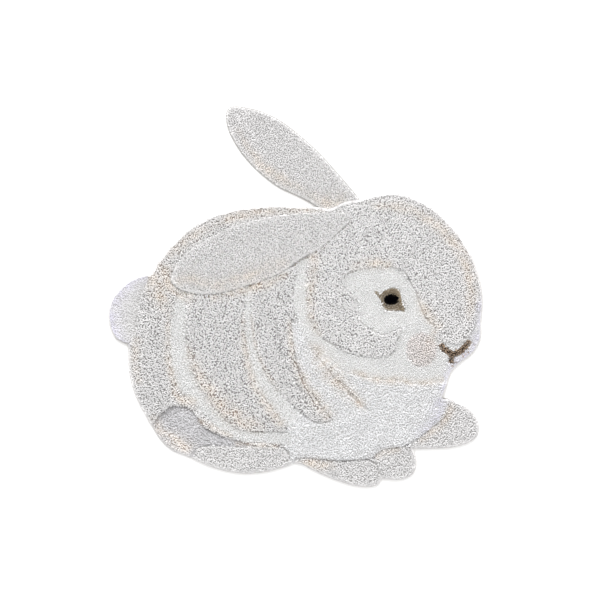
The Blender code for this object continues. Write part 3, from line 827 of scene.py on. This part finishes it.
def yarn_mesh(name, foot, top, fall, thick, warmth, rng):
    """Cut yarns as one mesh. Each is a four-sided tube along the curve that starts upright at
    its foot and ends at its top, fallen over: (1-t)^2 foot + 2t(1-t) bend + t^2 end. It swells
    towards the cut end and closes in a low point. tip says how far up the yarn a point is, and
    lot how pale its dye came out."""
    count, sides = len(foot), YARN_SIDES
    end = np.column_stack([foot[:, :2] + fall, top])
    bend = foot + YARN_LEAN * (end - foot)
    bend[:, 2] = foot[:, 2] + YARN_RISE * (end[:, 2] - foot[:, 2])
    t = YARN_SHARES[:, None]
    line = ((1 - t) ** 2 * foot[:, None] + 2 * t * (1 - t) * bend[:, None]
            + t ** 2 * end[:, None])
    along = unit((1 - t) * (bend - foot)[:, None] + t * (end - bend)[:, None])
    across = unit(np.column_stack([-fall[:, 1], fall[:, 0], np.zeros(count)]))
    across = np.broadcast_to(across[:, None], along.shape)
    third = np.cross(along, across)
    start = rng.uniform(0, 2 * np.pi, (count, 1, 1))
    angle = start + np.arange(sides) * 2 * np.pi / sides
    wide = (thick[:, None] / 2 * YARN_SWELL)[:, :, None, None]
    ring = (line[:, :-1, None]
            + wide * (np.cos(angle)[..., None] * across[:, :-1, None]
                      + np.sin(angle)[..., None] * third[:, :-1, None]))
    points = np.concatenate([ring.reshape(count, -1, 3), line[:, -1:]], axis=1)
    points[..., 2] = points[..., 2].clip(0)     # none goes into the floor

    # One yarn's triangles, each corner as its ring and its side. Past the last side comes side 0.
    corners = [((0, 0), (0, side + 1), (0, side)) for side in range(1, sides - 1)]
    for side in range(sides):
        corners.append(((0, side), (0, side + 1), (1, side + 1)))
        corners.append(((0, side), (1, side + 1), (1, side)))
        corners.append(((1, side), (1, side + 1), (2, side)))
    corners = np.array(corners)
    level, side = corners[..., 0], corners[..., 1]
    number = np.where(level == 2, 2 * sides, level * sides + side % sides)
    faces = (np.arange(count)[:, None, None] * points.shape[1] + number).reshape(-1, 3)

    # The UV map gives each yarn a cell of its own, with its length up and its girth across, and
    # its foot as a small square below.
    cells = int(np.ceil(count ** 0.5))
    within = np.stack([side / sides, YARN_SHARES[level]], -1) * 0.84 + 0.08
    turn = side[:sides - 2] * 2 * np.pi / sides
    within[:sides - 2] = 0.04 + 0.03 * np.stack([np.cos(turn), np.sin(turn)], -1)
    cell = np.column_stack([np.arange(count) % cells, np.arange(count) // cells])
    uv = (cell[:, None, None] + within) / cells

    each = points.shape[1]
    tip = np.append(np.repeat(YARN_SHARES[:-1], sides), 1)
    lot = rng.uniform(0, 1, count)
    values = {"tip": np.tile(tip, count), "lot": np.repeat(lot, each),
              "warmth": np.repeat(warmth, each)}
    return make_mesh(name, points.reshape(-1, 3), faces, uv, values, smooth=False)


def rim_yarns(loop, keep, rng, rows):
    """Feet, tops and falls of the yarns that stand out at the rim in rows over one another, and
    follow the outline at even steps."""
    feet, tops, falls = [], [], []
    for inset, short, top, spacing in rows:
        path = even_path(loop, spacing, closed=True)
        outward = left_normals(path)
        along = np.column_stack([outward[:, 1], -outward[:, 0]])
        slide, slant = rng.uniform(-0.5, 0.5, (2, len(path), 1)) * (spacing, 1.2 * inset)
        end = path + along * slide - outward * (short + rng.exponential(0.5, slide.shape) * MM)
        foot = end + along * slant - outward * inset * rng.uniform(0.7, 1.2, slide.shape)
        clear = keep(foot) & inside(foot, loop)
        fall = end - foot
        feet.append(foot[clear])
        falls.append(fall[clear])
        tops.append(np.full(clear.sum(), top) * rng.uniform(0.85, 1.1, clear.sum()))
    return np.vstack(feet), np.concatenate(tops), np.vstack(falls)


def yarn_finish(name, colour, roughness=0.95, flecks=0.1, gap=GAP_SHARE, sheen=0.12,
                specular=0.2):
    """Dyed cotton: paler or darker from tuft to tuft and in soft patches, ecru (in part painted
    warm shade) or cool white as it lies in the light, where its warmth says so, and darker towards
    the foot: painted shade, with some dust."""
    material = bpy.data.materials.new(name)
    material.use_nodes = True
    tree = material.node_tree
    place = add_node(material, "ShaderNodeTexCoord")
    tip = add_node(material, "ShaderNodeAttribute", attribute_name="tip")
    lot = add_node(material, "ShaderNodeAttribute", attribute_name="lot")
    warmth = add_node(material, "ShaderNodeAttribute", attribute_name="warmth")
    patch = add_noise(material, place, PATCH_SCALE, 4)
    fibre = add_noise(material, place, FIBRE_SCALE, 2)

    shares = []
    for strength in (-1, 0.8):
        share = add_node(material, "ShaderNodeMath", operation="MULTIPLY", use_clamp=True)
        share.inputs[1].default_value = strength
        tree.links.new(warmth.outputs["Fac"], share.inputs[0])
        shares.append(share.outputs[0])
    cool, warm = shares
    tinted = mix_colours(material, warm, linear(colour), linear(ECRU_COLOUR))
    tinted = mix_colours(material, cool, tinted, linear(COOL_COLOUR))
    # painted shade: the yarn's foot is darker than its end
    foot = mix_colours(material, warm, linear(colour) * gap, linear(ECRU_GAP_COLOUR))
    rise = add_node(material, "ShaderNodeMapRange", interpolation_type="SMOOTHSTEP")
    rise.inputs["From Max"].default_value = 0.75
    tree.links.new(tip.outputs["Fac"], rise.inputs["Value"])
    shade = mix_colours(material, rise.outputs["Result"], foot, tinted)
    for source in (lot, patch, fibre):
        fleck = mix_colours(material, source.outputs["Fac"], (1 - flecks,) * 3, (1 + flecks,) * 3)
        shade = mix_colours(material, 1.0, shade, fleck, "MULTIPLY")
    shader = tree.nodes["Principled BSDF"]
    tree.links.new(shade, shader.inputs["Base Color"])
    shader.inputs["Roughness"].default_value = roughness
    shader.inputs["Specular IOR Level"].default_value = specular
    shader.inputs["Sheen Weight"].default_value = sheen
    shader.inputs["Sheen Roughness"].default_value = 0.6
    add_bump(material, fibre.outputs["Fac"], 0.35, 0.4 * MM)
    return material


def anywhere(spots):
    """True for every spot."""
    return np.ones(len(spots), bool)


def clear_of_ear(spots):
    """True where the near ear doesn't lie, and not in the narrow gap under its lower edge."""
    below_ear, past_gap = gap_under_ear(spots)
    covered = inside(spots, near_ear_loop) & (nearest(spots, near_ear_edge)[0] > EAR_CLEARANCE)
    return ~covered & ~(below_ear & (past_gap < 0))


yarn_colours = {kind[0]: kind[5] for kind in KINDS}


def body_pile(name, kind, sizes, seed, comb=None, ruffle=1.0, ragged=0.5, sparse=0.03,
              blend=1.2, keep=anywhere,
              tints=lambda spots: tint_at(spots, TINTS.values())):
    """Tufts one kind of pile where keep is true of a spot. sizes are the spacing of the tufts,
    how thick they are and how far they fall over. ragged is how much the cut ends differ in
    height and blend how far the border of the kind is frayed, in millimetres, and sparse is the
    share of tufts that are missing."""
    rng = np.random.default_rng(seed)
    pitch, yarn, fall = sizes

    def wanted(spots):
        frayed = spots + rng.normal(0, blend * MM, spots.shape)
        return keep(spots) & (kind_at(frayed) == NAMES.index(kind)) & clear_of_ear(spots)

    spots = scatter(body_loop, pitch, rng)
    spots = spots[keep(spots)]
    spots = spots[inside(spots, body_loop)]
    spots = spots[wanted(spots)]
    calm = calm_at(spots)
    thin = sparse * (1 - calm) * (1 + THIN_PATCHES * lumps(spots) / LUMP_HEIGHT)
    grown = rng.uniform(0, 1, len(spots)) > thin
    spots, calm = spots[grown], calm[grown]
    groove_far = nearest(spots, grooves)[0]
    clear = nearest(spots, cuts)[0] > CUT_HALF_WIDTH
    spots, calm, groove_far = spots[clear], calm[clear], groove_far[clear]
    falls = fall_of(spots, body_edge, fall, rng, None if comb is None else comb(spots), ruffle)
    falls *= np.interp(groove_far / MM, GROOVE_REACH, GROOVE_FALL)[:, None]
    pile = pile_height(spots)
    tops = pile + rng.normal(0, ragged * MM, len(spots)) * (1 - 0.65 * calm)
    rim_spots, rim_tops, rim_falls = rim_yarns(body_loop, wanted, rng, BODY_RIM_ROWS)

    feet = np.vstack([np.column_stack([spots, canvas_height(spots, pile, calm) - TUFT_FOOT]),
                      np.column_stack([rim_spots, rim_tops * RIM_FOOT_SHARE])])
    warmth = tints(feet[:, :2])
    thick = yarn * rng.uniform(0.8, 1.2, len(feet))
    thick[len(spots):] = RIM_YARN * rng.uniform(0.85, 1.15, len(rim_spots))
    made = yarn_mesh(name, feet, np.concatenate([tops, rim_tops]), np.vstack([falls, rim_falls]),
                     thick, warmth, rng)
    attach(made, "root")
    return made


coat = yarn_finish("grey coat yarn", yarn_colours["long grey"], flecks=0.08)
# painted light: the paler coat yarn of the head
lit_head_coat = yarn_finish("grey coat yarn with painted light", LIT_HEAD_COAT_COLOUR, flecks=0.08)
coat_parts = (("rump_pile", -0.70, -0.16, 0.12, coat, 11),
              ("flank_pile", -0.16, 0.06, 0.115, coat, 12),
              ("head_pile", 0.06, 0.70, 0.055, lit_head_coat, 13))
for part, left, right, missing, finish, seed in coat_parts:
    pile = body_pile(part, "long grey", (COAT_PITCH, COAT_YARN, COAT_FALL), seed, ragged=0.55,
                     sparse=missing,
                     keep=lambda spots: (spots[:, 0] >= left) & (spots[:, 0] < right))
    pile.data.materials.append(finish)


# The belly and chest: the same yarn undyed, tufted as long as the coat and fluffier, so that it
# lies in soft lumps with few gaps.

BELLY_PITCH = 4.8 * MM
BELLY_YARN = 8 * MM
BELLY_FALL = 3.4 * MM

belly = body_pile("belly_pile", "long white", (BELLY_PITCH, BELLY_YARN, BELLY_FALL), 21,
                  ragged=0.45, sparse=0.07)
belly.data.materials.append(
    yarn_finish("undyed long yarn", yarn_colours["long white"], flecks=0.07, gap=0.9))


# The stripes: bands of short white pile over the haunch, flank and shoulder, clipped low and
# level between banks of the long coat.

STRIPE_PITCH = 4.3 * MM
STRIPE_YARN = 6.9 * MM
STRIPE_FALL = 2.6 * MM

stripes = body_pile("stripe_pile", "stripe white", (STRIPE_PITCH, STRIPE_YARN, STRIPE_FALL), 31,
                    ragged=0.4, sparse=0.07)
stripes.data.materials.append(
    yarn_finish("short white yarn", yarn_colours["stripe white"], flecks=0.06, gap=0.9))


# The white of the face: the eye's surround, the line down the cheek, the jaw, chin and neck.
# It is the shortest and densest pile, almost smooth, with only a faint grain.

FACE_PITCH = 4.2 * MM
FACE_YARN = 5.8 * MM
FACE_FALL = 2.2 * MM

face = body_pile("face_pile", "face white", (FACE_PITCH, FACE_YARN, FACE_FALL), 41, ragged=0.4,
                 sparse=0.012)
face.data.materials.append(yarn_finish("face white yarn", yarn_colours["face white"], flecks=0.06))


# The muzzle: a round tuft of warm beige yarn beside the nose, standing a little over the white.

MUZZLE_PITCH = 4.4 * MM
MUZZLE_YARN = 6.8 * MM
MUZZLE_FALL = 2.6 * MM

muzzle = body_pile("muzzle_pile", "beige", (MUZZLE_PITCH, MUZZLE_YARN, MUZZLE_FALL), 51,
                   sparse=0.12, blend=4)
muzzle.data.materials.append(yarn_finish("beige yarn", yarn_colours["beige"]))


# The tail: creamy white yarn with a cool rim, brushed outwards from its root so that the strokes
# fan out. Its border with the coat is frayed, so the one runs into the other.

TAIL_PITCH = 4.2 * MM
TAIL_YARN = 5.9 * MM
TAIL_FALL = 7 * MM
TAIL_ROOT = np.array((-440, -45)) * MM

tail = body_pile("tail_pile", "brushed white", (TAIL_PITCH, TAIL_YARN, TAIL_FALL), 61,
                 comb=lambda spots: unit(spots - TAIL_ROOT), ruffle=0.45, ragged=0.4,
                 sparse=0.06, blend=9)
tail.data.materials.append(
    yarn_finish("brushed tail yarn", yarn_colours["brushed white"], 0.9, flecks=0.07))


# The hind foot: low grey pile, combed flat along the foot from heel to toe.

FOOT_PITCH = 4.4 * MM
FOOT_YARN = 5 * MM
FOOT_FALL = 9 * MM
FOOT_HEADING = np.array((0.97, -0.22))

foot_pile = body_pile("hind_foot_pile", "smooth grey", (FOOT_PITCH, FOOT_YARN, FOOT_FALL), 71,
                      comb=lambda spots: np.tile(FOOT_HEADING, (len(spots), 1)), ruffle=0.5,
                      ragged=0.45, sparse=0.06)
foot_pile.data.materials.append(
    yarn_finish("smooth foot yarn", yarn_colours["smooth grey"], 0.85, flecks=0.13))


# The three forepaws and the toes of the hind foot: grey pile a little shorter than the coat,
# falling over every way.

PAW_PITCH = 4.6 * MM
PAW_YARN = 7.7 * MM
PAW_FALL = 3.4 * MM

paws = body_pile("forepaw_pile", "paw grey", (PAW_PITCH, PAW_YARN, PAW_FALL), 81, ragged=0.45,
                 sparse=0.08)
paws.data.materials.append(yarn_finish("paw yarn", yarn_colours["paw grey"], flecks=0.08))


# The eye: olive brown yarn laid round a black pupil, finer than the coat's and cut level, so
# that its edges stay sharp. Round the pupil it has worn pale.

EYE_PITCH = 2.6 * MM
EYE_YARN = 3.3 * MM
EYE_FALL = 2 * MM
IRIS_RINGS = 0.36     # their spacing, as a share of the pupil's reach
EYE_CENTRE, EYE_REACH = np.array(PUPIL[:2]) * MM, np.array(PUPIL[2:]) * MM


def round_the_pupil(spots):
    """Headings square to the way from the pupil's centre."""
    way = unit(spots - EYE_CENTRE)
    return np.column_stack([-way[:, 1], way[:, 0]])


def pale_rings(spots):
    """Warmth in rings round the pupil, stronger to its left and below."""
    way = (spots - EYE_CENTRE) / EYE_REACH
    wave = np.cos(2 * np.pi * (np.hypot(*way.T) - 1.12) / IRIS_RINGS).clip(0, 1)
    return wave * (0.6 - 0.42 * unit(way) @ (0.7, 0.7))


def plain(spots):
    """No warmth anywhere."""
    return np.zeros(len(spots))


iris = body_pile("iris_pile", "olive brown", (EYE_PITCH, EYE_YARN, EYE_FALL), 91,
                 comb=round_the_pupil, ruffle=0.5, ragged=0.35, sparse=0, blend=0.6,
                 tints=pale_rings)
iris.data.materials.append(
    yarn_finish("olive yarn", yarn_colours["olive brown"], 0.9, flecks=0.12, gap=0.5))
pupil = body_pile("pupil_pile", "black", (EYE_PITCH, EYE_YARN, EYE_FALL), 92, sparse=0,
                  blend=3.2, tints=plain)
pupil.data.materials.append(
    yarn_finish("black yarn", yarn_colours["black"], 0.9, gap=0.5, sheen=0, specular=0.06))


# The mouth: a smile in dark brown yarn and the short line under its middle, tufted in a few
# rows that stand up through the white of the chin.

MOUTH_PITCH = 3.9 * MM
MOUTH_YARN = 4.6 * MM

mouth = body_pile("mouth_pile", "dark brown", (MOUTH_PITCH, MOUTH_YARN, EYE_FALL), 93,
                  ragged=0.9, sparse=0.12, blend=2.2, tints=plain)
mouth.data.materials.append(
    yarn_finish("dark brown yarn", yarn_colours["dark brown"], 0.9, flecks=0.4, gap=0.3))


# The ears: each is a piece of canvas of its own with short, dense grey pile. The far one is sewn
# to the top of the head and lies on the floor. The near one is sewn on over the back and its
# free edge shades the coat below it.

EAR_COLOUR = (230, 229, 229)
EAR_SHADE = 0.6
EAR_HEIGHT = 12 * MM
EAR_PITCH = 4.1 * MM
EAR_YARN = 6.3 * MM
EAR_FALL = 3 * MM
EAR_DEPTH = 4.5 * MM
EAR_SPARSE = 0.07
EAR_MARGIN = 1.2 * MM
EAR_RAGGED = 0.4 * MM
SEWING_GAP = 0.4 * MM
EAR_RIM_ROWS = (
    (7 * MM, 1 * MM, 3.2 * MM, 3.4 * MM), (10 * MM, 1.8 * MM, 6 * MM, 4.4 * MM),
    (13 * MM, 3.5 * MM, 8.8 * MM, 8 * MM))

seat = body_stretches["seat of the far ear"]
seam = seat + left_normals(seat, closed=False) * SEWING_GAP
upper_edge, lower_edge = (np.array(edge) * MM for edge in FAR_EAR_EDGE)
upper_path = even_path(np.vstack([seam[-1:], upper_edge, lower_edge[:1]]), CANVAS_STEP)
lower_path = even_path(np.vstack([lower_edge, seam[:1]]), CANVAS_STEP)
far_ear_loop = np.vstack([seam, upper_path[1:-1], lower_path[:-1]])[::-1]

# Where the ears' yarn is ecru: in part painted warm shade along the far ear's base and the near
# ear's lower border
EAR_TINTS = {
    "far_ear": ((130, 300, 40, 0.9), (95, 300, 34, 0.9), (40, 330, 20, 0.4), (-50, 375, 26, 0.8),
                (-100, 410, 26, 0.8), (-150, 470, 18, 0.5), (-185, 530, 14, 0.3)),
    "near_ear": ((-365, 50, 30, 0.5), (-345, 60, 30, 0.8), (-290, 45, 26, 0.5),
                 (-230, 40, 36, 0.6), (-130, 72, 40, 0.7), (-40, 110, 30, 0.4)),
}
ear_canvas = canvas_finish()
ear_yarn = yarn_finish("ear yarn", EAR_COLOUR, 0.9, flecks=0.08)
for node, loop, lift, seed in (("far_ear", far_ear_loop, 0, 101),
                               ("near_ear", near_ear_loop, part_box("near_ear")[0][2], 102)):
    rng = np.random.default_rng(seed)
    edge = stretches(loop)
    spots = scatter(loop, EAR_PITCH, rng)
    spots = spots[inside(spots, loop)]
    far = nearest(spots, edge)[0]
    grown = (far > EAR_MARGIN) & (rng.uniform(0, 1, len(far)) > EAR_SPARSE)
    spots, far = spots[grown], far[grown]
    height = EAR_HEIGHT * np.interp(far, RIM_INSETS, RIM_SHARES)
    falls = fall_of(spots, edge, EAR_FALL, rng)
    rim_spots, rim_tops, rim_falls = rim_yarns(loop, anywhere, rng, EAR_RIM_ROWS)
    feet = np.vstack([
        np.column_stack([spots, np.maximum(height - EAR_DEPTH, height * CANVAS_LEAST)]),
        np.column_stack([rim_spots, rim_tops * RIM_FOOT_SHARE])])
    tops = np.concatenate([height + rng.normal(0, EAR_RAGGED, len(spots)), rim_tops])
    feet[:, 2] += lift
    thick = np.repeat((EAR_YARN, RIM_YARN), (len(spots), len(rim_spots)))
    pile = yarn_mesh(node + "_pile", feet, tops + lift, np.vstack([falls, rim_falls]),
                     thick * rng.uniform(0.85, 1.15, len(feet)),
                     tint_at(feet[:, :2], [EAR_TINTS[node]]), rng)
    pile.data.materials.append(ear_yarn)
    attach(pile, "root")

    # The ear's canvas is its yarn's colour darkened: painted shade between the tufts.
    cloth = canvas_mesh(
        node + "_canvas", loop, loop.mean(axis=0), lift,
        lambda points: lift + (EAR_HEIGHT - EAR_DEPTH) * np.interp(
            nearest(points, edge)[0], RIM_INSETS, RIM_SHARES),
        lambda points: np.tile(linear(EAR_COLOUR) * EAR_SHADE, (len(points), 1)))
    cloth.data.materials.append(ear_canvas)
    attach(cloth, "root")
    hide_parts(node)
